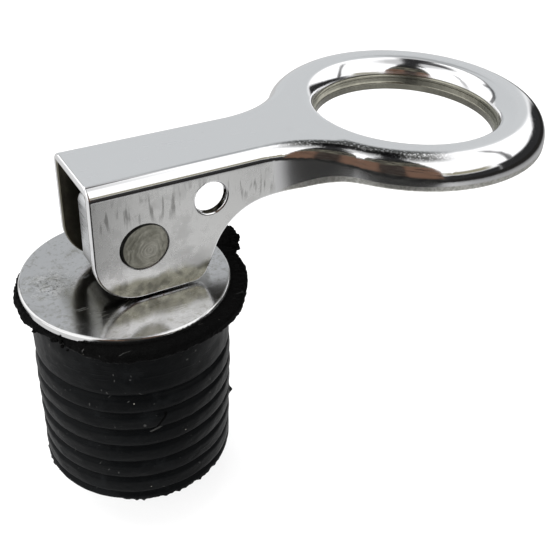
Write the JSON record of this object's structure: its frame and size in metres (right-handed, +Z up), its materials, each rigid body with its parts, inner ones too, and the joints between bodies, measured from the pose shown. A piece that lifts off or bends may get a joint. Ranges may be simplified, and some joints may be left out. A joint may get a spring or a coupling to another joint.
{
  "type": "snap lever boat drain plug",
  "caption": "Expanding drain plug: a fold-down cam lever with a finger ring squeezes a ribbed rubber stopper so that it swells and seals a boat's drain tube.",
  "frame": {"origin": "on the plug's axis at the underside of the stopper's flange, the face that seats on the drain tube's rim", "axes": "+Z up along the plug's axis, out of the drain tube; +X from the plug towards the lever's finger ring with the lever folded flat; +Y completes a right-handed frame, along the pivot pin"},
  "size_m": [0.0747, 0.038, 0.0527],
  "materials": {
    "lever_steel": "formed stainless sheet: bright polished bends and ring, satin web and cheeks with fine draw marks",
    "pin_steel": "turned stainless end face with concentric tool marks, duller than the lever",
    "stem_steel": "machined stainless, satin",
    "plate_steel": "bright stainless disc with scuffs, smears and a burnished rim",
    "stopper_rubber": "matte black rubber, ribbed, with a torn flange edge and moulding flash",
    "washer_steel": "plain stainless washer, satin",
    "nut_steel": "stainless nut, bright",
    "insert_nylon": "off-white nylon, smooth"
  },
  "bodies": {
    "plug": {"rubber_stopper": "stopper_rubber", "top_plate": "plate_steel"},
    "clamp": {"bottom_washer": "washer_steel", "lock_nut": "nut_steel", "nut_insert": "insert_nylon"},
    "spindle": {"stem": "stem_steel", "pivot_pin": "pin_steel"},
    "handle": {"lever": "lever_steel"}
  },
  "joints": [
    {"name": "clamp_slide", "type": "slide", "parent": "plug", "child": "clamp", "axis": [0, 0, -1], "range_m": [0, 0.0005]},
    {"name": "stem_swivel", "type": "hinge", "parent": "clamp", "child": "spindle", "pos_m": [0, 0, 0], "axis": [0, 0, 1], "continuous": true},
    {"name": "lever_fold", "type": "hinge", "parent": "spindle", "child": "handle", "pos_m": [0, 0, 0.00975], "axis": [0, -1, 0], "range_deg": [0, 90]}
  ],
  "couplings": [
    {"joint": "clamp_slide", "follows": "lever_fold", "m_per_rad": 0.0003183}
  ]
}
